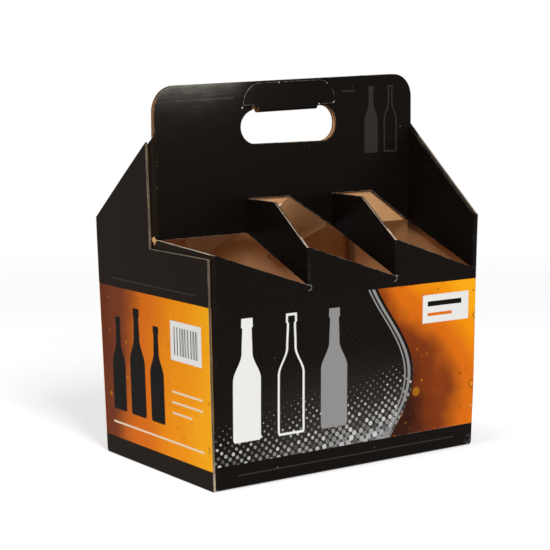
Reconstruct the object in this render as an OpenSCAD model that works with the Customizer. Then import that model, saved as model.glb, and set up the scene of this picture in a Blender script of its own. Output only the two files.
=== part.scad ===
// Open carrier for six bottles, folded from one sheet of thin corrugated board.
// X runs along the front, Y from front to rear, Z up from the surface it stands on.

/* [Board] */
// Thickness of the board
board = 1.6; // [1.2:0.1:2.2]

/* [Tub] */
// Length of the front panel between its corner folds
panel_length = 200; // [180:1:240]
// Depth over the front and rear panels at the base
base_depth = 126.5; // [110:0.5:132]
// Depth over the front and rear panels at the tooth tops
top_depth = 135.3; // [126:0.1:150]
// Height of the low tips of the sawtooth edge
tooth_low = 116.5; // [95:0.5:130]
// Height of the high tips of the sawtooth edge
tooth_top = 139; // [132:0.5:146]
// How far the rear bottom flap laps over the front one
bottom_lap = 40; // [20:1:55]

/* [Ends] */
// Height of a gable at its outer corner
gable_corner = 151; // [147:0.5:165]
// Height of a gable at the handle
gable_top = 206.2; // [180:0.1:215]
// Distance from the middle of the handle to the cut edge of the left gable
gable_setback = 5; // [4:0.5:20]
// How far the front half of the left end stays below the glue flap's top
lap_drop = 2.5; // [1:0.5:12]
// How far the left end stops short of the front corner fold at the base
lap_setback = 0.4; // [0.2:0.1:10]

/* [Straps and handle] */
// Height of the lower edge of the handle plies
handle_low = 142; // [136:0.5:146]
// Height of a strap's level upper edge
strap_top = 163.5; // [155:0.5:175]
// Level run of a strap's upper edge
strap_flat = 32; // [20:0.5:45]
// Height of the handle
handle_top = 237; // [233:0.5:250]
// Radius of the handle's upper corners
handle_corner_r = 15; // [5:0.5:25]

/* [Hand hole and flap] */
// Width of the hand hole
hole_width = 74; // [73:0.5:100]
// Height of the hand hole
hole_height = 22; // [19:0.5:22.5]
// Height of the hand hole's lower edge
hole_bottom = 197.5; // [185:0.5:198]
// Width of the hand flap
flap_width = 71; // [60:0.5:90]
// Radius of the flap's free corners
flap_corner_r = 12; // [4:0.5:13]
// Distance of the folded flap's free edge below the handle's top
flap_top_gap = 1; // [0.5:0.5:1.5]
// Height of the flap's shoulders above its fold line
flap_shoulder = 1.7; // [1.7:0.1:2]
// Length of the flap's fold
crease_length = 50; // [35:0.5:52]
// How far the rounded fold hangs into the hand hole
crease_sag = 1.9; // [1.5:0.1:2.5]
// Clearance between the flap and the handle
flap_gap = 0.3; // [0.2:0.05:0.5]

/* [Hidden] */
$fn = 64;
// Outward lean of the front and rear panels
lean = atan((top_depth - base_depth) / 2 / tooth_top);
// Outer faces of the left end, the glue flap below it and the right end
left_x = -(panel_length + board) / 2;
glue_x = left_x + board;
right_x = left_x + board + panel_length;
// Run of one board into the board that it is joined to
tuck = 0.75;
// Free side edges of the handle plies
handle_x = right_x - board + tuck / 2;
// Left edges of the three cells
cell = round(100 * panel_length / 3) / 100;
cell_x = [glue_x, glue_x + cell, glue_x + 2 * cell];
// How much lower each inner ply of a gable is cut
ply_step = 0.4;
// Left end: height of its front half, and the place of its front edge
lap_top = tooth_top - lap_drop;
lap_edge_y = -base_depth / 2 + board + lap_setback;
// Fold line of the hand flap
crease_r = (3 * board + flap_gap) / 2;
crease_y = -(board + flap_gap) / 2;
crease_z = hole_bottom + hole_height + crease_r - crease_sag;
flap_top = handle_top - flap_top_gap;
shoulder_z = crease_z + flap_shoulder;
// Free corner radius, kept within the flap's height
flap_r = min(flap_corner_r, flap_top - shoulder_z);

// Depth behind the front panel's outer face and height up the panel, for a point in Y and Z
function on_lean(y, z) = [
    (y + base_depth / 2) * cos(lean) + z * sin(lean),
    z * cos(lean) - (y + base_depth / 2) * sin(lean)
];
// Outer end of a gable's slope, and the slope's height at the distance y from the handle's middle
corner_y = base_depth / 2 - board * cos(lean) + gable_corner * sin(lean);
corner_z = board * sin(lean) + gable_corner * cos(lean);
function slope_z(y) = gable_top - (gable_top - corner_z) * y / corner_y;

// Shape drawn in Y and Z, made solid along X from x0 to x1
module along_x(x0, x1) {
    translate([x0, 0, 0])
        rotate([90, 0, 90])
            linear_extrude(x1 - x0) children();
}

// Shape drawn in X and Z, made solid along Y from y0 to y1
module along_y(y0, y1) {
    translate([0, y1, 0])
        rotate([90, 0, 0])
            linear_extrude(y1 - y0) children();
}

// What stands on the front edge of the base, leaning with the front panel
module leaning() {
    translate([0, -base_depth / 2, 0])
        rotate([lean, 0, 0]) children();
}

// Upright fold of 90 degrees round an inner edge, turned from start
module fold(x, y, z0, z1, start) {
    translate([x, y, z0])
        rotate(start)
            rotate_extrude(angle = 90) square([board, z1 - z0]);
}

// Long panel with a sawtooth upper edge, its two corner folds and a flat seat for the riser
module long_panel(start_x, stack) {
    leaning() {
        along_y(0, board)
            polygon([
                [start_x + board, -board],
                [right_x - board, -board],
                [right_x - board, tooth_low],
                [right_x - stack * board, tooth_low],
                [cell_x[2] + board, tooth_top],
                [cell_x[2] + board, tooth_low],
                [cell_x[2], tooth_low],
                [cell_x[1] + board, tooth_top],
                [cell_x[1] + board, tooth_low],
                [cell_x[1], tooth_low],
                [start_x + board, tooth_top]
            ]);
        fold(start_x + board, board, -board, tooth_top, 180);
        fold(right_x - board, board, -board, tooth_low, 270);
    }
}

// Two bottom flaps, one glued over the other
module bottom() {
    translate([glue_x + board / 2, -base_depth / 2 + board / 2, -board / 2])
        cube([panel_length - board, base_depth - board, 1.5 * board]);
    translate([glue_x + 2 * board, base_depth / 2 - bottom_lap, board / 2])
        cube([panel_length - 4 * board, bottom_lap - board / 2, 1.5 * board]);
}

// Lower half of an end, from a tall corner fold to just past the handle, where it reaches end_z
module low_end(x, end_z) {
    leaning()
        along_x(x, x + board)
            polygon([
                [board, -board],
                on_lean(tuck, -board),
                on_lean(tuck, end_z),
                [board, tooth_top]
            ]);
}

// Right end: gable in front of the handle, low edge behind it
module right_end() {
    leaning()
        along_x(right_x - board, right_x)
            polygon([
                [board, -board],
                on_lean(tuck, -board),
                on_lean(tuck, gable_top),
                on_lean(0, gable_top),
                [board, gable_corner]
            ]);
    rotate(180) low_end(left_x, handle_low + tuck);
    translate([right_x - board - tuck, 0, handle_low])
        cube([board + tuck, board, gable_top + tuck - handle_low]);
}

// Left end, seen half turned: gable behind the handle, lapped over the glue flap
module left_end() {
    rotate(180)
        leaning()
            along_x(right_x - board, right_x)
                polygon([
                    [board, -board],
                    on_lean(-lap_edge_y, -board),
                    on_lean(-lap_edge_y, lap_top),
                    on_lean(-gable_setback, lap_top),
                    on_lean(-gable_setback, slope_z(gable_setback)),
                    [board, gable_corner]
                ]);
}

// Board from a gable's corner fold to the handle, cut lower by step and run on to end_y
module gable_ply(x, low, step, end_y) {
    leaning()
        along_x(x, x + board)
            polygon([
                [board, low],
                [board, gable_corner],
                on_lean(end_y, slope_z(abs(end_y)) - step),
                on_lean(end_y, handle_low + tuck)
            ]);
}

// Riser from the handle to a front corner, folded back on a stack of boards at the end
module riser(stack) {
    inner_x = right_x - stack * board;
    gable_ply(inner_x, tooth_low, (stack - 1) * ply_step, -board / 2);
    leaning() {
        fold(right_x - board, board, tooth_low, gable_corner, 270);
        fold(inner_x + board, board, tooth_low, gable_corner, 180);
        if (stack > 2)
            translate([inner_x + board, 0, tooth_low])
                cube([(stack - 2) * board, board, gable_corner - tooth_low]);
    }
}

// Strap from a tooth of the front panel back to the handle
module strap(x) {
    leaning() {
        along_x(x, x + board)
            polygon([
                [board, tooth_low],
                [board, tooth_top],
                on_lean(-strap_flat, strap_top),
                on_lean(-board / 2, strap_top),
                on_lean(-board / 2, handle_low + tuck)
            ]);
        fold(x + board, board, tooth_low, tooth_top, 180);
    }
}

// Hand hole with the room that the flap's fold turns in
module hole_outline() {
    end_r = hole_height / 2;
    for (side = [-1, 1])
        translate([side * (hole_width / 2 - end_r), hole_bottom + end_r]) circle(end_r);
    translate([-hole_width / 2 + end_r, hole_bottom])
        square([hole_width - 2 * end_r, hole_height]);
    translate([-crease_length / 2 - flap_gap, hole_bottom + end_r])
        square([crease_length + 2 * flap_gap, crease_z + crease_r + flap_gap - hole_bottom - end_r]);
}

// Handle ply with its lower edge cut for the straps and for the riser on its right
module handle_ply(stack) {
    along_y(-board, 0)
        difference() {
            union() {
                polygon([
                    [-handle_x, handle_low],
                    [cell_x[1] + board / 2, handle_low],
                    [cell_x[1] + board / 2, strap_top],
                    [cell_x[1] + strap_flat, strap_top],
                    [cell_x[2], handle_low],
                    [cell_x[2] + board / 2, handle_low],
                    [cell_x[2] + board / 2, strap_top],
                    [cell_x[2] + strap_flat, strap_top],
                    [right_x - stack * board, handle_low],
                    [handle_x, handle_low],
                    [handle_x, handle_top - handle_corner_r],
                    [handle_x - handle_corner_r, handle_top],
                    [-handle_x + handle_corner_r, handle_top],
                    [-handle_x, handle_top - handle_corner_r]
                ]);
                for (side = [-1, 1])
                    translate([side * (handle_x - handle_corner_r), handle_top - handle_corner_r])
                        circle(handle_corner_r);
            }
            hole_outline();
        }
}

// The whole sheet, folded and glued, trimmed level where it stands
module carton() {
    color("#1d1a18")
        difference() {
            union() {
                bottom();
                right_end();
                left_end();
                // Front half, with its glue flap and its riser against the right end alone
                long_panel(glue_x, 2);
                low_end(glue_x, handle_low - tuck);
                handle_ply(2);
                riser(2);
                // Rear half, turned half round, with the handle's tab between riser and left end
                rotate(180) {
                    long_panel(left_x, 3);
                    handle_ply(3);
                    riser(3);
                    gable_ply(right_x - 2 * board, handle_low, ply_step, board / 2);
                }
                for (turn = [0, 180], x = [cell_x[1], cell_x[2]])
                    rotate(turn) strap(x);
            }
            translate([-panel_length, -base_depth, -4 * board])
                cube([2 * panel_length, 2 * base_depth, 4 * board]);
        }
}

// Flap outline, folded up above its crease
module flap_outline() {
    round_z = flap_top - flap_r;
    translate([-crease_length / 2, crease_z])
        square([crease_length, flap_top - crease_z]);
    difference() {
        union() {
            translate([-flap_width / 2, shoulder_z])
                square([flap_width, round_z - shoulder_z + flap_gap]);
            translate([-flap_width / 2 + flap_r, shoulder_z])
                square([flap_width - 2 * flap_r, flap_top - shoulder_z]);
            for (side = [-1, 1])
                translate([side * (flap_width / 2 - flap_r), round_z]) circle(flap_r);
        }
        translate([-flap_width / 2, shoulder_z - 2 * flap_r])
            square([flap_width, 2 * flap_r]);
    }
}

// Hand flap, pushed through the hole and folded up on the front of the handle
module hand_flap() {
    color("#161413") {
        along_y(-2 * board - flap_gap, -board - flap_gap) flap_outline();
        translate([-crease_length / 2, crease_y, crease_z])
            rotate([0, 90, 0]) cylinder(r = crease_r, h = crease_length);
    }
}

carton();
hand_flap();
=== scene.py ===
import bpy
import bmesh
import math
from mathutils import Matrix, Vector, noise


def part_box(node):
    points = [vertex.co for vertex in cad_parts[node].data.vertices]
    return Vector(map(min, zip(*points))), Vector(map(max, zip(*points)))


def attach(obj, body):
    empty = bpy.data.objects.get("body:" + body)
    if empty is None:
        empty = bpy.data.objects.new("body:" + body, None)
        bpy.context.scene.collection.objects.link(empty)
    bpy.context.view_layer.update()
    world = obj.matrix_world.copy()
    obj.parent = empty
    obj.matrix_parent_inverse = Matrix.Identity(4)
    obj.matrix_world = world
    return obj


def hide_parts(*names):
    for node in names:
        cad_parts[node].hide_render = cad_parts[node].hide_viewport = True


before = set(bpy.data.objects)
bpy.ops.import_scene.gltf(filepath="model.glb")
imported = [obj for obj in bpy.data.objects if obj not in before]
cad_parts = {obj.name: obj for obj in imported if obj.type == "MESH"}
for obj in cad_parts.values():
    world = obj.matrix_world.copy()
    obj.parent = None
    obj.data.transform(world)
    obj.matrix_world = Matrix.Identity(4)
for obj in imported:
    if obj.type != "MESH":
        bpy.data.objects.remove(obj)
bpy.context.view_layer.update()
scene = bpy.context.scene
mm = 0.001

# every length in millimetres, as in the CAD source
sheet = {
    "board": 1.6, "slack": 0.05, "panelLength": 200.0, "baseDepth": 126.5, "topDepth": 135.3,
    "toothLow": 116.5, "toothTop": 139.0, "gableCorner": 151.0, "gableTop": 206.2, "riserDrop": 0.4,
    "gableCutLow": 3.6, "gableCutTop": 6.4, "lapTop": 136.5, "lapEdge": -62.75,
    "handleLow": 142.0, "strapTop": 163.5, "strapFlat": 32.0,
    "handleTop": 237.0, "handleX": 99.5, "handleCornerR": 15.0,
    "holeWidth": 74.0, "holeHeight": 22.0, "holeBottom": 197.5, "notchTop": 223.9,
    "glueReach": 6.0, "glueStepY": (-1.8, -0.9), "glueStep": 0.3,
    "tabStart": 2.0, "tabReach": 54.0, "tabInset": 1.2,
    "bottomReach": 30.0, "bottomFlat": 26.0, "bottomStep": 6.0, "bottomLap": 40.0,
    "foldSteps": 5, "arcSteps": 9, "gridStep": 9.0, "gridStart": 0.37, "border": 0.5,
}
board = sheet["board"]
leanAngle = math.atan((sheet["topDepth"] - sheet["baseDepth"]) / 2 / sheet["toothTop"])
leftX = -(sheet["panelLength"] + board) / 2
glueX = leftX + board
rightX = glueX + sheet["panelLength"]
cell = round(100 * sheet["panelLength"] / 3) / 100
cellX = [glueX, glueX + cell, glueX + 2 * cell]
baseFoldY = -sheet["baseDepth"] / 2 - board * math.tan(leanAngle) + board / math.cos(leanAngle)
baseFoldUp = board * math.cos(leanAngle) - (baseFoldY + sheet["baseDepth"] / 2) * math.sin(leanAngle)


def onLean(x, inset, up):  # point behind the front panel's face, up the leaning panel
    return (x, -sheet["baseDepth"] / 2 + inset * math.cos(leanAngle) - up * math.sin(leanAngle),
            inset * math.sin(leanAngle) + up * math.cos(leanAngle))


cornerY = -onLean(0, board, sheet["gableCorner"])[1]
cornerZ = onLean(0, board, sheet["gableCorner"])[2]


def slopeZ(y):  # height of a gable's slope at a distance from the handle
    return sheet["gableTop"] - (sheet["gableTop"] - cornerZ) * abs(y) / cornerY


def halfTurn(points):
    return [(-x, -y, z) for x, y, z in points]


# small modelling tools
def editMode():
    bpy.ops.object.mode_set(mode="EDIT")


def objectMode():
    bpy.ops.object.mode_set(mode="OBJECT")


def deselectAll():
    if bpy.context.object and bpy.context.object.mode != "OBJECT":
        objectMode()
    bpy.ops.object.select_all(action="DESELECT")


def makeActive(piece):
    deselectAll()
    piece.select_set(True)
    bpy.context.view_layer.objects.active = piece


def applyModifier(piece, kind, **values):
    makeActive(piece)
    modifier = piece.modifiers.new(kind.lower(), kind)
    for key, value in values.items():
        setattr(modifier, key, value)
    bpy.ops.object.modifier_apply(modifier=modifier.name)


def cutBoard(name, outline, facing, material):  # flat board cut to an outline, printed side towards facing
    deselectAll()
    bpy.ops.mesh.primitive_circle_add(vertices=len(outline), radius=0.01, fill_type="NGON")
    piece = bpy.context.object
    piece.name = name
    for vert, point in zip(piece.data.vertices, outline):
        vert.co = Vector(point) * mm
    piece.data.update()
    inwards = piece.data.polygons[0].normal.dot(Vector(facing)) < 0
    editMode()
    bpy.ops.mesh.select_all(action="SELECT")
    if inwards:
        bpy.ops.mesh.flip_normals()
    bpy.ops.mesh.inset(thickness=sheet["border"] * mm, use_boundary=True, use_even_offset=True)
    objectMode()
    piece.data.materials.append(material)
    return piece


def selectEdge(piece, start, end):  # edges on the line from start to end
    a, b = Vector(start) * mm, Vector(end) * mm
    run = b - a
    makeActive(piece)
    editMode()
    bpy.ops.mesh.select_mode(type="EDGE")
    bpy.ops.mesh.select_all(action="DESELECT")
    mesh = bmesh.from_edit_mesh(piece.data)
    for edge in mesh.edges:
        edge.select = all(
            ((v.co - a) - run * ((v.co - a).dot(run) / run.dot(run))).length < 2e-6
            and -1e-3 < (v.co - a).dot(run) / run.dot(run) < 1 + 1e-3 for v in edge.verts)
    mesh.select_flush_mode()
    bmesh.update_edit_mesh(piece.data)


def foldOver(piece, start, end, centre, axis, degrees):  # round fold spun off an edge of the board
    selectEdge(piece, start, end)
    bpy.ops.mesh.spin(steps=sheet["foldSteps"], angle=-math.radians(degrees),
                      center=Vector(centre) * mm, axis=axis)
    objectMode()


def pushOut(piece, start, end, move):  # flat run extruded off an edge
    selectEdge(piece, start, end)
    bpy.ops.mesh.extrude_edges_move(TRANSFORM_OT_translate={"value": Vector(move) * mm})
    objectMode()


# node helpers work in this tree, and take a socket or a plain number for each input
tree = None


def put(socket, value):
    if isinstance(value, bpy.types.NodeSocket):
        tree.links.new(value, socket)
    else:
        socket.default_value = value


def addNode(kind, **values):
    node = tree.nodes.new("ShaderNode" + kind)
    for name, value in values.items():
        put(node.inputs[name], value)
    return node


def calc(operation, a, b=0.0, clamp=False):
    node = addNode("Math")
    node.operation = operation
    node.use_clamp = clamp
    put(node.inputs[0], a)
    put(node.inputs[1], b)
    return node.outputs[0]


def times(a, b):
    return calc("MULTIPLY", a, b)


def plus(a, b):
    return calc("ADD", a, b)


def minus(a, b):
    return calc("SUBTRACT", a, b)


def divide(a, b):
    return calc("DIVIDE", a, b)


def larger(a, b):
    return calc("MAXIMUM", a, b)


def spread(value, low, high, toLow=0.0, toHigh=1.0, smoothEnds=True):  # range to range
    node = addNode("MapRange")
    node.interpolation_type = "SMOOTHSTEP" if smoothEnds else "LINEAR"
    for socket, amount in zip(node.inputs, (value, low, high, toLow, toHigh)):
        put(socket, amount)
    return node.outputs[0]


def blend(mask, under, over):
    node = addNode("Mix")
    node.data_type = "RGBA"
    put(node.inputs[0], mask)
    for socket, colour in ((node.inputs[6], under), (node.inputs[7], over)):
        put(socket, (*colour, 1) if isinstance(colour, tuple) else colour)
    return node.outputs[2]


def ramp(value, stops):
    node = addNode("ValToRGB", Fac=value)
    node.color_ramp.interpolation = "EASE"
    while len(node.color_ramp.elements) < len(stops):
        node.color_ramp.elements.new(0.5)
    for element, (place, colour) in zip(node.color_ramp.elements, stops):
        element.position = place
        element.color = (*colour, 1) if isinstance(colour, tuple) else (colour, colour, colour, 1)
    return node.outputs[0]


def cloud(place, scale, detail=2.0, rough=0.5, stretch=None):
    if stretch:
        place = addNode("Mapping", Vector=place, Scale=stretch).outputs[0]
    return addNode("TexNoise", Vector=place, Scale=scale, Detail=detail, Roughness=rough).outputs["Fac"]


def cells(place, scale, jitter=1.0):
    return addNode("TexVoronoi", Vector=place, Scale=scale, Randomness=jitter).outputs


def objectPlace():
    return addNode("TexCoord").outputs["Object"]


def printPlace():  # the print's own millimetres, from the left to the right and upwards
    node = addNode("UVMap")
    node.uv_map = "printPlace"
    scaled = addNode("VectorMath", Vector=node.outputs[0])
    scaled.operation = "SCALE"
    put(scaled.inputs["Scale"], 1000)
    return scaled.outputs[0]


def apart(vector):
    return addNode("SeparateXYZ", Vector=vector).outputs


def mark(name):  # value kept on the points of the mesh
    node = addNode("Attribute")
    node.attribute_name = name
    return node.outputs["Fac"]


def newGroup(name, outputs, **inputs):  # the first input of each group is a place
    global tree
    tree = bpy.data.node_groups.new(name, "ShaderNodeTree")
    tree.interface.new_socket(name="Place", in_out="INPUT", socket_type="NodeSocketVector")
    for label, value in inputs.items():
        socket = tree.interface.new_socket(name=label, in_out="INPUT", socket_type="NodeSocketFloat")
        socket.default_value = value
    for label in outputs:
        tree.interface.new_socket(name=label, in_out="OUTPUT", socket_type="NodeSocketFloat")
    return tree.nodes.new("NodeGroupInput").outputs, tree.nodes.new("NodeGroupOutput").inputs


def use(group, **values):
    node = addNode("Group")
    node.node_tree = group
    for name, value in values.items():
        put(node.inputs[name], value)
    return node.outputs


def offsetFrom(place, centreU, centreV):  # offsets and distance from a centre on the print
    u, v, _ = apart(place)
    across, along = minus(u, centreU), minus(v, centreV)
    far = calc("SQRT", plus(times(across, across), times(along, along)))
    return across, along, far


def makeBoxMark():  # printed rectangle
    given, result = newGroup("boxMark", ["Mask"], Left=0, Right=1, Low=0, High=1, Soft=0.3)
    u, v, _ = apart(given["Place"])
    across = larger(minus(given["Left"], u), minus(u, given["Right"]))
    along = larger(minus(given["Low"], v), minus(v, given["High"]))
    outside = divide(larger(across, along), given["Soft"])
    put(result["Mask"], calc("SUBTRACT", 0.5, outside, clamp=True))
    return tree


def makeDiscMark():  # printed disc
    given, result = newGroup("discMark", ["Mask"], U=0, V=0, Radius=5, Soft=0.3)
    far = offsetFrom(given["Place"], given["U"], given["V"])[2]
    outside = divide(minus(far, given["Radius"]), given["Soft"])
    put(result["Mask"], calc("SUBTRACT", 0.5, outside, clamp=True))
    return tree


# share of the bottle's height, and half its width there
bottleProfile = [(0.0, 0.62), (0.03, 0.68), (0.5, 0.68), (0.72, 0.27), (0.92, 0.235), (0.925, 0.29),
                 (0.985, 0.28)]


def makeBottleMark():  # plain bottle silhouette, filled and as a line
    given, result = newGroup("bottleMark", ["Mask", "Outline"], U=0, Base=0, Height=60, Line=1.2, Soft=0.35)
    u, v, _ = apart(given["Place"])
    up = minus(v, given["Base"])
    profile = ramp(divide(up, given["Height"]), bottleProfile)
    width = times(profile, times(given["Height"], 0.2))
    inside = minus(width, calc("ABSOLUTE", minus(u, given["U"])))
    inEnds = calc("MINIMUM", up, minus(given["Height"], up))
    inside = calc("MINIMUM", inside, inEnds)
    mask = calc("DIVIDE", inside, given["Soft"], clamp=True)
    core = calc("DIVIDE", minus(inside, given["Line"]), given["Soft"], clamp=True)
    put(result["Mask"], mask)
    put(result["Outline"], minus(mask, core))
    return tree


def makeHookCut():  # small curled cut below a strap
    given, result = newGroup("hookCut", ["Mask"], U=0, V=114.9, Radius=1.65)
    across, along, far = offsetFrom(given["Place"], given["U"], given["V"])
    ring = spread(calc("ABSOLUTE", minus(far, given["Radius"])), 0.2, 0.42, 1, 0)
    half = spread(minus(across, times(along, 0.46)), 0.0, 0.3)
    put(result["Mask"], times(ring, half))
    return tree


boardRelief = {"flutePitch": 0.0032, "drift": 0.0016, "flute": 0.55, "grain": 0.25, "buckle": 1.6}


def makeBoardSkin():  # washboard of the flutes, paper grain and slow mottling
    given, result = newGroup("boardSkin", ["Height", "Mottle", "Grain"], Pitch=boardRelief["flutePitch"])
    place = given["Place"]
    drift = times(cloud(place, 18, 1), boardRelief["drift"])
    turnAngle = divide(times(plus(apart(place)[2], drift), math.tau), given["Pitch"])
    flute = times(calc("SINE", turnAngle), cloud(place, 30, 1))
    grain = cloud(place, 2200, 3, 0.6)
    buckle = times(cloud(place, 55, 2), boardRelief["buckle"])
    uneven = plus(times(grain, boardRelief["grain"]), buckle)
    put(result["Height"], plus(times(flute, boardRelief["flute"]), uneven))
    put(result["Mottle"], cloud(place, 26, 4, 0.6))
    put(result["Grain"], grain)
    return tree


def makeInkWear():  # ink cracked on folds, rubbed off along cuts, and fine scuffs
    given, result = newGroup("inkWear", ["Worn", "Scuff"], Cut=0, Fold=0)
    place = given["Place"]
    alongCut = times(spread(given["Cut"], 0.35, 0.95), spread(cloud(place, 240, 3, 0.65), 0.36, 0.6))
    cracks = times(spread(cloud(place, 900, 3, 0.7), 0.52, 0.62), spread(cloud(place, 60, 2), 0.45, 0.62))
    onFold = times(spread(given["Fold"], 0.55, 1.0), cracks)
    specks = spread(cells(place, 190)["Distance"], 0.05, 0.09, 1, 0)
    rare = spread(cloud(place, 45, 2), 0.6, 0.68)
    worn = larger(times(onFold, 0.1), times(specks, rare))
    put(result["Worn"], larger(times(alongCut, 0.75), worn))
    streaks = spread(cloud(place, 60, 3, 0.6, (0.35, 0.35, 9)), 0.56, 0.75)
    patches = spread(cloud(place, 14, 2), 0.45, 0.65)
    put(result["Scuff"], times(streaks, patches))
    return tree


boxMark, discMark, bottleMark = makeBoxMark(), makeDiscMark(), makeBottleMark()
hookCut, boardSkin, inkWear = makeHookCut(), makeBoardSkin(), makeInkWear()
hookPlaces = (cellX[1] + 0.8, cellX[2] - 0.8)

ink = {
    "black": (0.0050, 0.0035, 0.0027), "warmBlack": (0.0088, 0.0050, 0.0024), "grey": (0.030, 0.026, 0.023),
    "ash": (0.07, 0.068, 0.066), "cutGrey": (0.15, 0.14, 0.13), "smoke": (0.27, 0.265, 0.26),
    "fog": (0.58, 0.57, 0.56), "white": (0.80, 0.79, 0.77), "paper": (0.52, 0.46, 0.39),
    "cream": (0.82, 0.66, 0.46), "umber": (0.035, 0.009, 0.004), "rust": (0.115, 0.022, 0.006),
    "russet": (0.17, 0.036, 0.009), "chestnut": (0.20, 0.036, 0.006), "frontRing": (0.22, 0.05, 0.008),
    "endRing": (0.30, 0.07, 0.008), "spot": (0.45, 0.11, 0.012), "orange": (0.70, 0.155, 0.006),
    "amber": (0.88, 0.29, 0.004), "gold": (0.93, 0.40, 0.008),
    "roughness": 0.32, "gloss": 0.035, "endGloss": 0.025, "bump": 0.00006,
}


def startMaterial(name):
    global tree
    material = bpy.data.materials.new(name)
    material.use_nodes = True
    tree = material.node_tree
    return material, tree.nodes["Principled BSDF"]


def finishSurface(shader, colour, rough, gloss, height, strength, distance):  # relief comes last
    bump = addNode("Bump", Height=height, Strength=strength, Distance=distance)
    for name, value in (("Base Color", colour), ("Roughness", rough), ("Specular IOR Level", gloss),
                        ("Normal", bump.outputs[0])):
        put(shader.inputs[name], value)


def finishPrint(shader, colour, gloss):  # wear, satin sheen and board relief on a printed face
    place = objectPlace()
    skin = use(boardSkin, Place=place)
    wear = use(inkWear, Place=place, Cut=mark("cut"), Fold=mark("fold"))
    hazed = blend(times(wear["Scuff"], 0.012), colour, ink["paper"])
    worn = blend(times(wear["Worn"], 0.62), hazed, ink["paper"])
    rough = plus(times(skin["Mottle"], 0.16), ink["roughness"])
    rough = plus(plus(rough, times(wear["Scuff"], 0.12)), times(wear["Worn"], 0.3))
    finishSurface(shader, worn, rough, gloss, skin["Height"], 0.5, ink["bump"])


def boxMask(place, left, right, low, high, soft=0.3):
    return use(boxMark, Place=place, Left=left, Right=right, Low=low, High=high, Soft=soft)["Mask"]


def printBubbles(place, under, scale, size, leftOut, strength, tint):  # bubbles as thin rings
    dots = cells(place, scale, 0.5)
    chance, girth, _ = apart(dots["Color"])
    some = spread(chance, leftOut, leftOut + 0.02)
    off = minus(dots["Distance"], times(plus(girth, 0.3), size))
    ring = times(some, spread(calc("ABSOLUTE", off), 0.025, 0.055, 1, 0))
    disc = times(some, spread(off, -0.02, 0.02, 1, 0))
    filled = blend(times(disc, 0.3), under, ink["gold"])
    return blend(times(ring, strength), filled, tint)


def printFlecks(place, under, flecks, soft):  # specks of bare paper
    for u, v, radius in flecks:
        fleck = use(discMark, Place=place, U=u, V=v, Radius=radius, Soft=soft)["Mask"]
        under = blend(fleck, under, ink["cream"])
    return under


# on the print, in millimetres: boxes are left, right, low, high
frontLayout = {
    "picture": (-104.0, 104.0, 14.4, 109.5), "hazeU": (-110, -10), "hazeV": (14, 80),
    "screenScale": 0.27, "screenTurn": 38, "dotBand": (18, 68), "dotLargest": 0.62,
    "waveFoot": 16, "waveTurn": 0.042, "waveSwing": 17, "waveMiddle": 32,
    "waveLines": ((3.4, 0.9), (6.6, 0.4)),  # distance from the wave, half width
    "bubbles": ((0.085, 0.2, 0.45), (0.24, 0.18, 0.55)),  # scale, size, share left out
    "bottles": ((-77.0, "Mask", "white"), (-45.0, "Outline", "white"), (-13.0, "Mask", "smoke")),
    "bottleBase": 27.0, "bottleHeight": 74.0, "bottleLine": 1.5,
    "bars": ((56.0, 94.0, 84.0, 102.0, "white"), (60.0, 88.0, 94.6, 97.8, "black"),
             (60.0, 80.0, 88.4, 90.4, "orange"), (-84.0, 84.0, 7.0, 7.9, "grey")),
    "knockedU": (92, 98), "knockedV": (3, 9), "flecks": ((98.3, 26.0, 0.5),),
}


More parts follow.
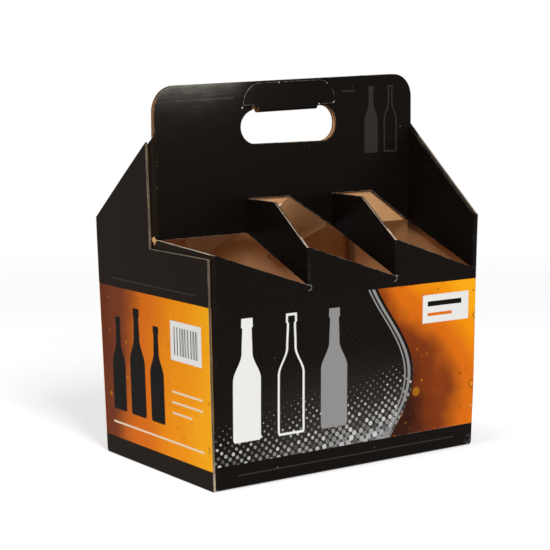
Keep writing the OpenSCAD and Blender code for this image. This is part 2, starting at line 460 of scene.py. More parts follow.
def makeFrontPrint():
    layout = frontLayout
    material, shader = startMaterial("frontPrint")
    place = printPlace()
    u, v, _ = apart(place)
    picture = boxMask(place, *layout["picture"])
    # grey haze and a screen of grey dots that thins out upwards
    haze = times(spread(u, *layout["hazeU"]), spread(v, *layout["hazeV"], 1, 0))
    colour = blend(times(haze, picture), ink["black"], ink["grey"])
    slanted = addNode("Mapping", Vector=place, Rotation=(0, 0, math.radians(layout["screenTurn"])))
    screen = cells(slanted.outputs[0], layout["screenScale"], 0.0)
    rise = plus(v, times(u, -0.16))
    rise = plus(rise, times(cloud(place, 0.03, 2), 24))
    radius = spread(rise, *layout["dotBand"], layout["dotLargest"], 0.0, False)
    dots = spread(minus(screen["Distance"], radius), -0.06, 0.06, 1, 0)
    tone = ramp(apart(screen["Color"])[0], [(0.0, ink["ash"]), (0.55, ink["smoke"]), (1.0, ink["fog"])])
    colour = blend(times(dots, picture), colour, tone)
    # amber wave on the right, darker towards its foot and its edge
    bend = calc("SINE", times(minus(v, layout["waveFoot"]), layout["waveTurn"]))
    inWave = minus(u, plus(times(bend, layout["waveSwing"]), layout["waveMiddle"]))
    uneven = times(minus(cloud(place, 0.035, 2), 0.5), 0.3)
    lightness = plus(plus(times(inWave, 0.0085), times(v, 0.0042)), uneven)
    amber = ramp(lightness, [(0.14, ink["umber"]), (0.36, ink["chestnut"]), (0.60, ink["orange"]),
                             (0.82, ink["amber"]), (1.0, ink["gold"])])
    for scale, size, leftOut in layout["bubbles"]:
        amber = printBubbles(place, amber, scale, size, leftOut, 0.7, ink["frontRing"])
    colour = blend(times(spread(inWave, -0.3, 0.3), picture), colour, amber)
    for away, half in layout["waveLines"]:
        line = spread(calc("ABSOLUTE", plus(inWave, away)), half, half + 0.4, 1, 0)
        colour = blend(times(line, picture), colour, ink["smoke"])
    # bottle marks, a white block with plain bars, and a rule at the foot
    for centre, part, tint in layout["bottles"]:
        shape = use(bottleMark, Place=place, U=centre, Base=layout["bottleBase"],
                    Height=layout["bottleHeight"], Line=layout["bottleLine"])[part]
        colour = blend(shape, colour, ink[tint])
    for *box, tint in layout["bars"]:
        colour = blend(boxMask(place, *box), colour, ink[tint])
    for centre in hookPlaces:
        colour = blend(use(hookCut, Place=place, U=centre)["Mask"], colour, ink["cutGrey"])
    # flecks at the knocked corner of the foot
    knocked = times(spread(u, *layout["knockedU"]), spread(v, *layout["knockedV"], 1, 0))
    specks = spread(cloud(place, 0.8, 3, 0.6, (1.6, 0.7, 1)), 0.55, 0.63)
    colour = blend(times(knocked, specks), colour, ink["smoke"])
    colour = printFlecks(place, colour, layout["flecks"], 0.3)
    finishPrint(shader, colour, ink["gloss"])
    return material


endLayout = {
    "field": (-90.0, 62.9, 11.8, 108.5), "fade": (-78, 58), "drift": 34, "slant": -0.10,
    "bubbles": (0.14, 0.17, 0.62),  # scale, size, share left out
    "bottles": ((-43.0, 60.0), (-20.0, 68.0), (3.0, 60.0)), "bottleBase": 30.0,  # centre, height
    "block": (20.0, 54.0, 72.0, 96.0), "bars": (23.5, 50.5, 75.5, 92.5), "combTurns": (2.1, 3.7),
    "rules": ((20.0, 54.0, 52.0), (20.0, 54.0, 45.5), (20.0, 42.0, 39.0), (-52.0, 54.0, 21.0)),
    "ruleHeight": 1.3, "topRule": (-48.0, 48.0, 113.5, 114.4),
}


def makeEndPrint():
    layout = endLayout
    material, shader = startMaterial("endPrint")
    place = printPlace()
    u, v, _ = apart(place)
    # amber field with slow drifts, spots and bubbles
    drift = times(minus(cloud(place, 0.022, 3), 0.5), layout["drift"])
    across = plus(u, plus(drift, times(v, layout["slant"])))
    amber = ramp(spread(across, *layout["fade"], smoothEnds=False),
                 [(0.0, ink["rust"]), (0.2, ink["russet"]), (0.42, ink["orange"]), (0.72, ink["amber"]),
                  (1.0, ink["gold"])])
    spots = spread(cloud(place, 0.28, 3, 0.6), 0.6, 0.74)
    amber = blend(times(spots, 0.35), amber, ink["spot"])
    amber = printBubbles(place, amber, *layout["bubbles"], 0.5, ink["endRing"])
    colour = blend(boxMask(place, *layout["field"]), ink["warmBlack"], amber)
    for centre, height in layout["bottles"]:
        shape = use(bottleMark, Place=place, U=centre, Base=layout["bottleBase"], Height=height)["Mask"]
        colour = blend(shape, colour, ink["black"])
    # white block of plain bars, cream rules, and a dark rule above the field
    colour = blend(boxMask(place, *layout["block"]), colour, ink["white"])
    comb = plus(*(calc("SINE", times(u, turn)) for turn in layout["combTurns"]))
    bars = times(spread(comb, 0.1, 0.45), boxMask(place, *layout["bars"]))
    colour = blend(bars, colour, ink["grey"])
    for left, right, low in layout["rules"]:
        rule = boxMask(place, left, right, low, low + layout["ruleHeight"])
        colour = blend(rule, colour, ink["cream"])
    colour = blend(boxMask(place, *layout["topRule"]), colour, ink["grey"])
    finishPrint(shader, colour, ink["endGloss"])
    return material


handleLayout = {
    "bottleBase": 188.0, "bottleHeight": 42.0, "bottleLine": 1.1,
    "bottles": ((82.0, "Outline"), (66.0, "Mask")),
    "rules": ((-84.0, -42.0, 227.0, 228.2), (42.0, 52.0, 227.0, 228.2)),
    "seam": (-98.9, -97.4, 145.0, 197.0),  # the handle's left fold
    "flecks": ((-35.7, 221.1, 0.55), (34.0, 221.2, 0.6), (22.2, 220.7, 0.5), (28.6, 233.8, 0.35),
               (-9.0, 235.6, 0.35)),  # where the flap's corners have been bent
}
# painted sheen at the top left of the handle, standing in for light reflected where the board bends back
rubbedAndSheen = {"top": 238.0, "depth": 4.9, "reach": (-66, -24), "wideDepth": 20.0, "wideReach": (-100, 20),
          "wideShare": 0.07, "tint": (0.25, 0.233, 0.205)}


def makeBlackPrint():
    layout = handleLayout
    material, shader = startMaterial("blackPrint")
    place = printPlace()
    colour = ink["black"]
    for centre, part in layout["bottles"]:
        shape = use(bottleMark, Place=place, U=centre, Base=layout["bottleBase"],
                    Height=layout["bottleHeight"], Line=layout["bottleLine"])[part]
        colour = blend(shape, colour, ink["grey"])
    for rule in layout["rules"]:
        colour = blend(boxMask(place, *rule), colour, ink["grey"])
    # painted sheen, a reflection at the top left corner of the handle, streaky, with a faint wide tail
    u, v, _ = apart(place)
    below = minus(v, rubbedAndSheen["top"])
    strong = times(calc("EXPONENT", divide(below, rubbedAndSheen["depth"])), spread(u, *rubbedAndSheen["reach"], 1, 0))
    wide = times(calc("EXPONENT", divide(below, rubbedAndSheen["wideDepth"])),
                 spread(u, *rubbedAndSheen["wideReach"], rubbedAndSheen["wideShare"], 0))
    streaks = spread(cloud(place, 1.0, 4, 0.7, (0.05, 0.9, 1)), 0.34, 0.66, 0.72, 1.15)
    blotches = spread(cloud(place, 0.07, 3, 0.6), 0.3, 0.7, 0.75, 1.15)
    sheen = times(plus(strong, wide), times(streaks, blotches))
    colour = blend(sheen, colour, rubbedAndSheen["tint"])
    # ink cracked down the handle's left fold
    seam = boxMask(place, *layout["seam"], 0.5)
    cracks = spread(cloud(place, 0.9, 3, 0.6, (1.4, 0.45, 1)), 0.56, 0.64)
    colour = blend(times(times(seam, cracks), 0.4), colour, ink["cream"])
    colour = printFlecks(place, colour, layout["flecks"], 0.4)
    finishPrint(shader, colour, ink["gloss"])
    return material


# places on the kraft and on the cut edges are in metres
kraft = {
    "light": (0.69, 0.385, 0.185), "dark": (0.58, 0.295, 0.12), "fleck": (0.24, 0.10, 0.035),
    "pale": (0.62, 0.44, 0.27), "crease": (0.10, 0.035, 0.012), "rubbedAndSheen": (0.10, 0.072, 0.042),
    "panelY": (0.055, 0.060), "cornerX": (0.0925, 0.0985),
    "stripX": (0.0984, 0.0988), "stripY": (-0.001, 0.0005), "stripZ": (0.13, 0.14),
    "stripBlackZ": (0.1975, 0.1995), "roughness": 0.74, "gloss": 0.08, "bump": 0.0001,
}


def makeKraft():
    material, shader = startMaterial("kraftInside")
    place = objectPlace()
    skin = use(boardSkin, Place=place)
    colour = blend(spread(skin["Mottle"], 0.3, 0.7), kraft["light"], kraft["dark"])
    fibres = spread(cloud(place, 420, 4, 0.7, (1, 1, 0.25)), 0.6, 0.78)
    colour = blend(times(fibres, 0.3), colour, kraft["fleck"])
    specks = spread(cloud(place, 700, 2, 0.6), 0.62, 0.8)
    colour = blend(times(specks, 0.25), colour, kraft["pale"])
    # painted shade in the fold creases and in the corners where the panels meet the ends
    crease = times(spread(mark("fold"), 0.1, 1.0), 0.75)
    x, y, z = apart(place)
    onPanel = spread(calc("ABSOLUTE", y), *kraft["panelY"])
    corner = times(spread(calc("ABSOLUTE", x), *kraft["cornerX"]), onPanel)
    colour = blend(larger(crease, times(corner, 0.6)), colour, kraft["crease"])
    # narrow strip above the front riser on the right gable, darker brown, and black near its top
    strip = times(spread(x, *kraft["stripX"]), spread(y, *kraft["stripY"], 1, 0))
    stripTone = blend(spread(z, *kraft["stripBlackZ"]), kraft["rubbedAndSheen"], ink["black"])
    colour = blend(times(strip, spread(z, *kraft["stripZ"])), colour, stripTone)
    # hook cuts drawn in the same dark colour as the painted crease shade
    for centre in hookPlaces:
        hook = use(hookCut, Place=printPlace(), U=centre)["Mask"]
        colour = blend(times(hook, onPanel), colour, kraft["crease"])
    rough = plus(times(skin["Grain"], 0.15), kraft["roughness"])
    finishSurface(shader, colour, rough, kraft["gloss"], skin["Height"], 0.6, kraft["bump"])
    return material


cutBoardEdge = {
    "liner": (0.42, 0.205, 0.075), "flute": (0.33, 0.15, 0.05), "hollowShade": (0.10, 0.043, 0.014),
    "printed": (0.30, 0.275, 0.245), "darkened": (0.034, 0.029, 0.022), "rubbedAndSheen": (0.185, 0.145, 0.092),
    "pale": (0.62, 0.50, 0.37), "roughness": 0.85, "gloss": 0.1, "bump": 0.0004,
    # x or its size, then y where it counts, then z
    "handleSide": ((0.089, 0.12), (0.205, 0.2265)), "handHole": ((-0.01, 0.044), (0.194, 0.2198)),
    "lap": ((-0.12, -0.0991), (-0.08, 0.0085), (-0.01, 0.2)), "lapFoot": (0.006, 0.026),
    "gable": ((0.0995, 0.12), (0.13, 0.1985)),
    "gableInner": ((0.0955, 0.0994), (0.13, 0.206)), "gableUpper": ((0.0955, 0.12), (0.199, 0.206)),
    "paleBand": ((-0.01, 0.0985), (0.108, 0.168)),
    "panelY": (0.057, 0.08), "rearStrapY": (0.0325, 0.08), "frontStrapY": (-0.08, -0.0325),
    "flapTop": ((-0.0994, -0.095), (-0.06, 0.0), (0.125, 0.146)),
    "lowEdge": ((-0.01, 0.0955), (0.003, 0.0325), (0.108, 0.1425)),
}


def within(value, limits, soft=0.0012):  # mask between two limits
    low, high = limits
    return times(spread(value, low - soft, low + soft), spread(value, high - soft, high + soft, 1, 0))


def inBox(x, y, z, limits, softX=0.0012):  # mask inside a box
    return times(within(x, limits[0], softX), times(within(y, limits[1]), within(z, limits[2])))


def makeCutEdge():  # two liners with the wavy flute between them and painted shade in its hollows; most cuts darkened nearly to black, some rubbed olive
    e = cutBoardEdge
    material, shader = startMaterial("cutEdge")
    place = objectPlace()
    x, y, z = apart(place)
    depth = mark("depth")

    run = times(plus(z, times(plus(x, y), 0.35)), math.tau / boardRelief["flutePitch"])
    wave = plus(times(calc("SINE", run), 0.28), 0.5)
    flute = spread(calc("ABSOLUTE", minus(depth, wave)), 0.08, 0.16, 1, 0)
    liner = spread(calc("ABSOLUTE", minus(depth, 0.5)), 0.34, 0.40)
    patch = spread(cloud(place, 90, 4, 0.65), 0.36, 0.66)
    # painted shade in the hollows between the flutes
    colour = blend(flute, e["hollowShade"], e["flute"])
    colour = blend(liner, colour, e["liner"])
    # darkened nearly to black, but not on the handle's sides and in the hand hole
    side = calc("ABSOLUTE", x)
    (sideX, sideZ), (holeX, holeZ) = e["handleSide"], e["handHole"]
    notDarkened = larger(times(within(side, sideX), within(z, sideZ, 0.002)),
                   times(within(side, holeX), within(z, holeZ, 0.0006)))
    darkened = times(minus(1.0, times(notDarkened, 0.92)), minus(1.0, times(patch, 0.2)))
    colour = blend(darkened, colour, e["darkened"])
    # olive along the left end's lap and on the right gable's outer board, paler at the lap's foot
    lap = inBox(x, y, z, e["lap"], 0.0002)
    gable = times(within(x, e["gable"][0], 0.0003), within(z, e["gable"][1]))
    olive = times(larger(lap, gable), spread(patch, 0, 1, 0.55, 1.0))
    colour = blend(olive, colour, e["rubbedAndSheen"])
    foot = times(lap, times(spread(z, *e["lapFoot"], 1, 0), spread(patch, 0, 1, 0.3, 0.8)))
    colour = blend(foot, colour, e["pale"])
    # pale along the teeth, the rear straps and the glue flap's top, with a pale rim on the front straps
    inBand = times(within(side, e["paleBand"][0]), within(z, e["paleBand"][1]))
    teeth = larger(within(calc("ABSOLUTE", y), e["panelY"]), within(y, e["rearStrapY"]))
    slope = times(within(y, e["frontStrapY"]), spread(depth, 0.3, 0.45, 1, 0))
    pale = times(inBand, larger(teeth, slope))
    flapTop = inBox(x, y, z, e["flapTop"], 0.0002)
    pale = times(larger(pale, flapTop), spread(patch, 0, 1, 0.45, 0.95))
    colour = blend(pale, colour, e["pale"])
    # plain kraft under the rear straps
    colour = blend(inBox(side, y, z, e["lowEdge"]), colour, e["liner"])
    # pale line of the printed liner
    rim = times(spread(depth, 0.22, 0.08), spread(cloud(place, 160, 3), 0.42, 0.6))
    colour = blend(times(rim, minus(1.0, notDarkened)), colour, e["printed"])
    # black on the right gable's inner board, and on its outer one next to the handle
    inner = times(within(x, e["gableInner"][0], 0.0002), within(z, e["gableInner"][1]))
    upper = times(within(x, e["gableUpper"][0]), within(z, e["gableUpper"][1]))
    colour = blend(larger(inner, upper), colour, ink["black"])
    finishSurface(shader, colour, e["roughness"], e["gloss"], larger(flute, liner), 0.8, e["bump"])
    return material


frontPrint, endPrint, blackPrint = makeFrontPrint(), makeEndPrint(), makeBlackPrint()
kraftInside, cutEdge = makeKraft(), makeCutEdge()
print("materials ready")

leanUp = (0, -math.sin(leanAngle), math.cos(leanAngle))


def foldCorner(piece, x, low, high, degrees):  # upright fold at a side of the leaning panel
    foldOver(piece, onLean(x, 0, low), onLean(x, 0, high), onLean(x, board, 0), leanUp, degrees)


def longPanel(startX, stack):  # front panel with its corner folds and bottom fold, in the front's place
    low, top = sheet["toothLow"], sheet["toothTop"]
    outline = [(startX + board, baseFoldUp), (rightX - board, baseFoldUp), (rightX - board, low),
               (rightX - stack * board, low), (cellX[2] + board, top), (cellX[2] + board, low),
               (cellX[2], low), (cellX[1] + board, top), (cellX[1] + board, low), (cellX[1], low),
               (startX + board, top)]
    panel = cutBoard("long_panel", [onLean(x, 0, up) for x, up in outline], (0, -1, 0), frontPrint)
    foldCorner(panel, startX + board, baseFoldUp, top, -90)
    foldCorner(panel, rightX - board, baseFoldUp, low, 90)
    foldOver(panel, onLean(startX + board, 0, baseFoldUp), onLean(rightX - board, 0, baseFoldUp),
             (0, baseFoldY, board), (1, 0, 0), 90 - math.degrees(leanAngle))
    return panel


def strap(x):  # diagonal strap with its fold off the front panel
    outline = [onLean(x, board, sheet["toothLow"]), onLean(x, board, sheet["toothTop"]),
               (x, -sheet["strapFlat"], sheet["strapTop"]), (x, -board, sheet["strapTop"]),
               (x, -board, sheet["handleLow"])]
    piece = cutBoard("strap", outline, (-1, 0, 0), blackPrint)
    foldOver(piece, outline[0], outline[1], onLean(x + board, board, 0), leanUp, 90)
    return piece


def arcPoints(cx, cz, radius, start, end):  # from one angle to the other, in degrees
    steps = sheet["arcSteps"]
    angles = [math.radians(start + (end - start) * i / steps) for i in range(steps + 1)]
    return [(cx + radius * math.cos(angle), cz + radius * math.sin(angle)) for angle in angles]


# notch for the flap, shift of the hand hole, and flat top of the strap windows
frontPly = {"notch": (-28.2, 21.3), "aside": 0.0, "flat": sheet["strapFlat"]}
rearPly = {"notch": (-21.3, 25.0), "aside": 0.7, "flat": sheet["strapFlat"] - 2.2}


def handlePly(foldX, stack, notch, aside, flat):  # two halves, parted at the middle of the hand hole
    s = sheet
    riserX = rightX - stack * board
    riserTop = slopeZ(board) - s["riserDrop"] * (stack - 1)
    endR = s["holeHeight"] / 2
    midZ = s["holeBottom"] + endR
    holeTop = s["holeBottom"] + s["holeHeight"]
    holeX = s["holeWidth"] / 2 - endR
    side, cornerR = s["handleX"], s["handleCornerR"]
    cornerMid = s["handleTop"] - cornerR
    lower = [(foldX, s["handleLow"]), (cellX[1], s["handleLow"]), (cellX[1], s["strapTop"]),
             (cellX[1] + flat, s["strapTop"]), (cellX[2], s["handleLow"]), (cellX[2], s["strapTop"]),
             (cellX[2] + flat, s["strapTop"]), (riserX, s["handleLow"]), (riserX, riserTop),
             (side, riserTop), (side, midZ)]
    lower += arcPoints(aside + holeX, midZ, endR, 0, -90) + arcPoints(aside - holeX, midZ, endR, -90, -180)
    lower += [(-side, midZ), (-side, s["gableTop"]), (foldX, s["gableTop"])]
    upper = [(side, midZ)] + arcPoints(side - cornerR, cornerMid, cornerR, 0, 90)
    upper += arcPoints(-side + cornerR, cornerMid, cornerR, 90, 180) + [(-side, midZ)]
    # the hole's arc ends where the notch meets it
    notchAngle = math.degrees(math.acos(min((notch[0] - aside + holeX) / endR, 0)))
    upper += arcPoints(aside - holeX, midZ, endR, 180, notchAngle)
    if notchAngle == 90:
        upper.append((notch[0], holeTop))
    upper += [(notch[0], s["notchTop"]), (notch[1], s["notchTop"]), (notch[1], holeTop)]
    upper += arcPoints(aside + holeX, midZ, endR, 90, 0)
    return [cutBoard("ply", [(x, -board, z) for x, z in outline], (0, -1, 0), blackPrint)
            for outline in (lower, upper)]


def riser(stack):  # board from the handle to the gable's corner fold, with that fold
    x = rightX - stack * board
    low, corner = sheet["toothLow"], sheet["gableCorner"]
    outline = [onLean(x, board, low), onLean(x, board, corner),
               (x, -board, slopeZ(board) - sheet["riserDrop"] * (stack - 1)), (x, -board, sheet["handleLow"])]
    piece = cutBoard("riser", outline, (-1, 0, 0), blackPrint)
    foldOver(piece, outline[0], outline[1], onLean(x + board, board, 0), leanUp, 90)
    if stack > 2:
        pushOut(piece, onLean(x + board, 0, low), onLean(x + board, 0, corner), ((stack - 2) * board, 0, 0))
    foldCorner(piece, rightX - board, low, corner, 90)
    return piece


def rightEnd():
    s = sheet
    rearEdge = halfTurn([onLean(-rightX, board, up) for up in (0, baseFoldUp, s["toothTop"])])
    outline = [onLean(rightX, board, 0), *rearEdge, (rightX, 0, s["handleLow"]), (rightX, 0, s["gableTop"]),
               onLean(rightX, board, s["gableCorner"]), onLean(rightX, board, s["toothLow"]),
               onLean(rightX, board, baseFoldUp)]
    piece = cutBoard("right_end", outline, (1, 0, 0), endPrint)
    foldOver(piece, (rightX, 0, s["handleLow"]), (rightX, 0, s["gableTop"]),
             (rightX - board, 0, 0), (0, 0, 1), 90)
    return piece


def leftEnd():  # made in the right end's place, then turned half round
    s = sheet
    outline = [onLean(rightX, board, 0), (rightX, -s["lapEdge"], 0), (rightX, -s["lapEdge"], s["lapTop"]),
               (rightX, -s["gableCutLow"], s["lapTop"]),
               (rightX, -s["gableCutTop"], slopeZ(s["gableCutTop"])),
               onLean(rightX, board, s["gableCorner"]), onLean(rightX, board, s["toothLow"]),
               onLean(rightX, board, baseFoldUp)]
    return cutBoard("left_end", halfTurn(outline), (-1, 0, 0), endPrint)


def glueFlap():  # under the left end, its top stepped down behind the handle's fold
    low, reach, step = sheet["handleLow"], sheet["glueReach"], sheet["glueStep"]
    stepStart, stepEnd = sheet["glueStepY"]
    outline = [onLean(glueX, board, 0), onLean(glueX, board, baseFoldUp),
               onLean(glueX, board, sheet["toothTop"]), (glueX, stepStart, low + step),
               (glueX, stepEnd, low - step), (glueX, reach, low - step), (glueX, reach, 0)]
    return cutBoard("glue_flap", outline, (-1, 0, 0), endPrint)


def handleTab():  # off the front handle ply, under the left gable
    s = sheet
    start, reach, inset = s["tabStart"], s["tabReach"], s["tabInset"]
    outline = [(glueX, 0, s["handleLow"]), (glueX, reach, s["handleLow"]),
               (glueX, reach, slopeZ(reach) - inset), (glueX, start, slopeZ(start) - inset),
               (glueX, 0, s["gableTop"])]
    piece = cutBoard("handle_tab", outline, (-1, 0, 0), endPrint)
    foldOver(piece, outline[0], outline[4], (glueX + board, 0, 0), (0, 0, 1), 90)
    return piece


def bottomFlap(front):  # bottom flap off the front, or off the rear and stepped up over the front one
    s = sheet
    x0, x1 = (glueX + board if front else leftX + board), rightX - board
    endY = s["bottomReach"] if front else baseFoldY + s["bottomFlat"]
    outline = [(x0, baseFoldY, 0), (x1, baseFoldY, 0), (x1, endY, 0), (x0, endY, 0)]
    piece = cutBoard("bottom_flap", outline, (0, 0, -1), blackPrint)
    if not front:
        run, rise = s["bottomStep"], board + 2 * s["slack"]
        pushOut(piece, outline[2], outline[3], (0, run, rise))
        step = [(x, y + run, z + rise) for x, y, z in outline[2:]]
        pushOut(piece, step[0], step[1], (0, s["bottomLap"] - run, 0))
    return piece


def turned(piece):  # half round the upright axis
    for vert in piece.data.vertices:
        vert.co = (-vert.co.x, -vert.co.y, vert.co.z)
    return piece


pieces = [longPanel(glueX, 2), turned(longPanel(leftX, 3)), rightEnd(), leftEnd(), glueFlap(), handleTab(),
          riser(2), turned(riser(3)), bottomFlap(True), turned(bottomFlap(False))]
pieces += [strap(cellX[1]), strap(cellX[2]), turned(strap(cellX[1])), turned(strap(cellX[2]))]
pieces += handlePly(glueX + board, 2, **frontPly)
pieces += [turned(ply) for ply in handlePly(leftX + board, 3, **rearPly)]
deselectAll()
for piece in pieces:
    piece.select_set(True)
bpy.context.view_layer.objects.active = pieces[0]
bpy.ops.object.join()
carton = bpy.context.object
carton.name = "folded_carton"
carton.data.name = "folded_carton"
editMode()
bpy.ops.mesh.select_mode(type="VERT")
bpy.ops.mesh.select_all(action="SELECT")
bpy.ops.mesh.remove_doubles(threshold=2e-5)
bpy.ops.mesh.normals_make_consistent(inside=False)
objectMode()


def smooth(low, high, value):
    t = min(max((value - low) / (high - low), 0), 1)
    return t * t * (3 - 2 * t)


def gridCut(piece, step):  # cuts through the board so that it can bow
    makeActive(piece)
    editMode()
    for axis, (low, high) in enumerate(zip(*[[c / mm for c in corner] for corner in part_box("carton")])):
        place = math.ceil(low / step) * step + sheet["gridStart"]
        while place < high:
            bpy.ops.mesh.select_all(action="SELECT")
            bpy.ops.mesh.bisect(plane_co=[place * mm if i == axis else 0 for i in range(3)],
                                plane_no=[1 if i == axis else 0 for i in range(3)], threshold=2e-6)
            place += step
    objectMode()


def markBoard(piece):  # fold and cut-edge marks on the points, print places in the UV map
    mesh = bmesh.new()
    mesh.from_mesh(piece.data)
    folds = [float(any(a.normal.angle(b.normal) > 0.2 for a in vert.link_faces for b in vert.link_faces))
             for vert in mesh.verts]
    cuts = [float(vert.is_boundary and all(edge.is_boundary or edge.calc_length() < 1.2 * mm
                                           for edge in vert.link_edges)) for vert in mesh.verts]
    layer = mesh.loops.layers.uv.new("printPlace")
    for face in mesh.faces:
        middle, normal = face.calc_center_median(), face.normal
        for loop in face.loops:
            x, y, z = loop.vert.co
            if abs(normal.z) > 0.8:
                loop[layer].uv = (x, y)
            elif piece.data.materials[face.material_index] == endPrint:
                loop[layer].uv = (y if middle.x > 0 else -y, z)
            else:
                loop[layer].uv = (x if middle.y < 0 else -x, z)
    mesh.to_mesh(piece.data)
    mesh.free()
    return folds, cuts


# how far the standing carton is out of true, and over which stretches, in millimetres
sway = {
    "baseY": -2.15, "topLeftY": 2.6, "topRightY": -0.5, "heldZ": (118, 146), "heldY": 62,
    "barTilt": 0.0267, "barZ": (203, 221),
    "footPinch": 0.7, "footX": (70, 100), "footY": (-60, -20), "footZ": (0, 55),
    "strapBow": 2.4, "strapDrop": 2.6, "strapLift": 1.3, "strapX": (33, -33.7), "strapReach": 3.5,
    "strapFrom": (4, 113), "strapLength": 64, "strapDepth": 14, "strapSlope": 0.72,
    "rearRise": 1.6, "rearY": (56, 64), "rearZ": (112, 126), "rearEnd": (140, 150),
    "waveHeight": 0.4, "waveLength": 75, "waveStart": (3.1, 7.7, 1.3), "waveSeed": 5,
    "calmFoot": (2, 40), "calmHole": (180, 192), "calmX": (48, 70),
}


def swayed(x, y, z):  # shift of a point of the true shape
    w = sway
    up = min(z / sheet["toothTop"], 1)
    topY = w["topLeftY"] + (w["topRightY"] - w["topLeftY"]) * (x + 100) / 200
    hold = 1 - smooth(*w["heldZ"], z) * (1 - min(1, abs(y) / w["heldY"]))
    shift = Vector((0, (w["baseY"] + (topY - w["baseY"]) * up) * hold, 0))
    shift.z += w["barTilt"] * x * smooth(*w["barZ"], z)
    atFoot = smooth(*w["footX"], x) * (1 - smooth(*w["footZ"], z)) * (1 - smooth(*w["footY"], y))
    shift.x -= w["footPinch"] * atFoot
    fromY, fromZ = w["strapFrom"]
    if y > fromY and z > fromZ and min(abs(x - at) for at in w["strapX"]) < w["strapReach"]:
        along = math.sin(math.pi * min(1, (y - 2) / w["strapLength"]))
        lowEdge = sheet["handleLow"] + (sheet["toothLow"] - sheet["handleLow"]) * y / 66
        topEdge = sheet["strapTop"] - max(y - sheet["strapFlat"], 0) * w["strapSlope"]
        shift.x -= w["strapBow"] * along
        shift.z -= w["strapDrop"] * along * (1 - smooth(0, w["strapDepth"], z - lowEdge))
        shift.z += w["strapLift"] * along * smooth(-w["strapDepth"], 0, z - topEdge)
    onTeeth = smooth(*w["rearZ"], z) * (1 - smooth(*w["rearEnd"], z))
    shift.z += w["rearRise"] * smooth(*w["rearY"], y) * onTeeth
    return shift


def bowBoard(piece):  # sway and slow waves that carry every ply of the sheet along together
    noise.seed_set(sway["waveSeed"])  # or the waves start from the clock
    for vert in piece.data.vertices:
        x, y, z = vert.co / mm
        nearHole = smooth(*sway["calmHole"], z) * (1 - smooth(*sway["calmX"], abs(x)))
        calm = smooth(*sway["calmFoot"], z) * (1 - nearHole)
        wave = noise.noise_vector(Vector((x, y, z)) / sway["waveLength"] + Vector(sway["waveStart"]))
        bow = Vector((wave.x, wave.y, wave.z * 0.5)) * sway["waveHeight"] * calm
        vert.co += (bow + swayed(x, y, z)) * mm


def thicken(piece, thickness, folds, cuts, prints):  # board thickness, with kraft inside and cut edges
    for material in [kraftInside] * prints + [cutEdge] * prints:
        piece.data.materials.append(material)
    applyModifier(piece, "SOLIDIFY", thickness=thickness * mm, offset=-1, use_even_offset=True,
                  use_quality_normals=True, material_offset=prints, material_offset_rim=2 * prints)
    count = len(folds)
    depths = [0.0] * count + [1.0] * count  # from the printed face to the kraft
    for name, values in (("fold", folds + folds), ("cut", cuts + cuts), ("depth", depths)):
        piece.data.attributes.new(name, "FLOAT", "POINT").data.foreach_set("value", values)
    makeActive(piece)
    bpy.ops.object.shade_smooth_by_angle(angle=math.radians(32))


gridCut(carton, sheet["gridStep"])
folds, cuts = markBoard(carton)
bowBoard(carton)
thicken(carton, board - sheet["slack"], folds, cuts, 3)
print("carton sheet", len(carton.data.polygons), "faces", [m.name for m in carton.data.materials])

# hand flap, folded up in front of the handle
flap = {
    "left": -36.2, "right": 34.6, "top": 236.0, "cornerR": 13.0, "tip": 220.9, "leftTip": 222.55,
    "bevel": 0.8, "shoulder": 220.3, "leftWing": ((-28.4, 222.45), (-27.4, 220.9), (-24.7, 220.8)),
    "faceY": -3.5, "foldZ": 220.15, "foldY": -0.95, "foldLeft": -24.7, "foldRight": 21.0,
    "rollAngle": 238, "rollSteps": 14, "thickness": 1.5, "gridStep": 6.0,
}


def makeFlap():
    f = flap
    left, right, radius, bevel = f["left"], f["right"], f["cornerR"], f["bevel"]
    outline = [(f["foldLeft"], f["foldZ"]), (f["foldRight"], f["foldZ"]), (f["foldRight"], f["shoulder"]),
               (right - bevel, f["tip"]), (right, f["tip"] + bevel)]
    outline += arcPoints(right - radius, f["top"] - radius, radius, 0, 90)
    outline += arcPoints(left + radius, f["top"] - radius, radius, 90, 180)
    outline += [(left + bevel, f["leftTip"]), *f["leftWing"]]
    piece = cutBoard("fold_up_flap", [(x, f["faceY"], z) for x, z in outline], (0, -1, 0), blackPrint)
    selectEdge(piece, (f["foldLeft"], f["faceY"], f["foldZ"]), (f["foldRight"], f["faceY"], f["foldZ"]))
    bpy.ops.mesh.spin(steps=f["rollSteps"], angle=-math.radians(f["rollAngle"]), axis=(1, 0, 0),
                      center=Vector((0, f["foldY"], f["foldZ"])) * mm)
    objectMode()
    piece.data.name = "fold_up_flap"
    return piece


handFlap = makeFlap()
gridCut(handFlap, flap["gridStep"])
flapMarks = markBoard(handFlap)
for vert in handFlap.data.vertices:
    vert.co.z += sway["barTilt"] * vert.co.x
thicken(handFlap, flap["thickness"], *flapMarks, 1)
print("hand flap", len(handFlap.data.polygons), "faces")

# torn flake of liner at the foot of the handle's left fold, as x, y, z
flake = {"thickness": 0.35, "outline": [
    (-99.55, 2.9, 143.0), (-99.85, 0.9, 143.7), (-100.0, -0.2, 144.2), (-99.8, -1.4, 142.9),
    (-99.6, -3.3, 142.1), (-99.5, -1.5, 140.9), (-99.4, -0.3, 138.8), (-99.45, 0.9, 140.4),
    (-99.45, 2.5, 141.5)]}


def makeFlake():
    piece = cutBoard("torn_flake", flake["outline"], (-1, 0, 0), kraftInside)
    for vert in piece.data.vertices:
        vert.co += swayed(*(vert.co / mm)) * mm
    applyModifier(piece, "SOLIDIFY", thickness=flake["thickness"] * mm, offset=-1)
    return piece


makeActive(makeFlake())
carton.select_set(True)
bpy.context.view_layer.objects.active = carton
bpy.ops.object.join()

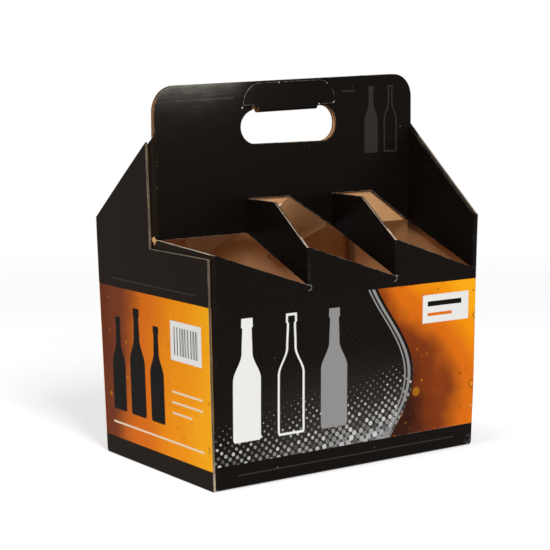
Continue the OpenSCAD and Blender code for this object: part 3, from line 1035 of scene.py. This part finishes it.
for piece, node, slot in ((carton, "carton", "printed_board"), (handFlap, "hand_flap", "flap_board")):
    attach(piece, node)
    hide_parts(node)

# camera at the photograph's angle
view = {"azimuth": -35.18, "elevation": 7.99, "roll": -0.27, "distance": 1054.49,
        "target": (-10.47, 0.0, 113.36), "lens": 108.31, "sensor": 36, "clipEnd": 20}


def placeCamera():
    a, e, r = (math.radians(view[key]) for key in ("azimuth", "elevation", "roll"))
    back = Vector((math.sin(a) * math.cos(e), -math.cos(a) * math.cos(e), math.sin(e)))
    right = Vector((math.cos(a), math.sin(a), 0))
    up = back.cross(right)
    turnedRight = math.cos(r) * right + math.sin(r) * up
    turnedUp = -math.sin(r) * right + math.cos(r) * up
    bpy.ops.object.camera_add()
    camera = bpy.context.object
    camera.name = "photoCamera"
    camera.data.lens = view["lens"]
    camera.data.sensor_width = view["sensor"]
    camera.data.clip_end = view["clipEnd"]
    turn = Matrix((turnedRight, turnedUp, back)).transposed().to_4x4()
    camera.matrix_world = Matrix.Translation((Vector(view["target"]) + back * view["distance"]) * mm) @ turn
    scene.camera = camera


deselectAll()
placeCamera()

# floor and light, in metres and watts
studio = {
    "floorSize": 6, "floorDrop": 0.0004, "floorTone": 0.8, "floorGlow": 0.4, "floorFade": (0.3, 1.1),
    "worldLight": 0.14,
    "softboxes": (("keySoftbox", (-0.3, -1.7, 1.5), (0, 0, 0.12), 0.8, 39),
                  ("leftSoftbox", (-1.9, -0.15, 0.62), (0, 0, 0.15), 0.6, 13.5),
                  ("topSoftbox", (-0.3, 0.15, 1.9), (0, 0, 0.1), 0.5, 9)),  # place, aim, side, power
}


def seenPlainly():  # 1 for what the camera sees straight on, mirrored or through glass
    path = addNode("LightPath").outputs
    mirrored = larger(path["Is Glossy Ray"], path["Is Transmission Ray"])
    return larger(path["Is Camera Ray"], mirrored)


def makeFloor():
    deselectAll()
    bpy.ops.mesh.primitive_plane_add(size=studio["floorSize"], location=(0, 0, -studio["floorDrop"]))
    floor = bpy.context.object
    floor.name = "paleFloor"
    material, shader = startMaterial("floorWhite")
    for name, value in (("Base Color", (*[studio["floorTone"]] * 3, 1)), ("Roughness", 0.9),
                        ("Specular IOR Level", 0.1), ("Emission Color", (1, 1, 1, 1))):
        put(shader.inputs[name], value)
    put(shader.inputs["Emission Strength"], times(seenPlainly(), studio["floorGlow"]))
    away = addNode("VectorMath", Vector=objectPlace())
    away.operation = "LENGTH"
    put(shader.inputs["Alpha"], spread(away.outputs["Value"], *studio["floorFade"], 1, 0))
    floor.data.materials.append(material)


def addLamp(name, place, aim, side, power):
    deselectAll()
    bpy.ops.object.light_add(type="AREA", location=place)
    lamp = bpy.context.object
    lamp.name = name
    lamp.data.shape = "RECTANGLE"
    lamp.data.size, lamp.data.size_y = side, side
    lamp.data.energy = power
    lamp.rotation_euler = (Vector(place) - Vector(aim)).to_track_quat("Z", "Y").to_euler()


makeFloor()
for softbox in studio["softboxes"]:
    addLamp(*softbox)
world = bpy.data.worlds.new("studio")
scene.world = world
world.use_nodes = True
tree = world.node_tree
background = tree.nodes["Background"].inputs
put(background["Color"], (1, 1, 1, 1))
put(background["Strength"], spread(seenPlainly(), 0, 1, studio["worldLight"], 1.0, False))
scene.view_settings.view_transform = "Standard"
print("camera, floor and light ready")
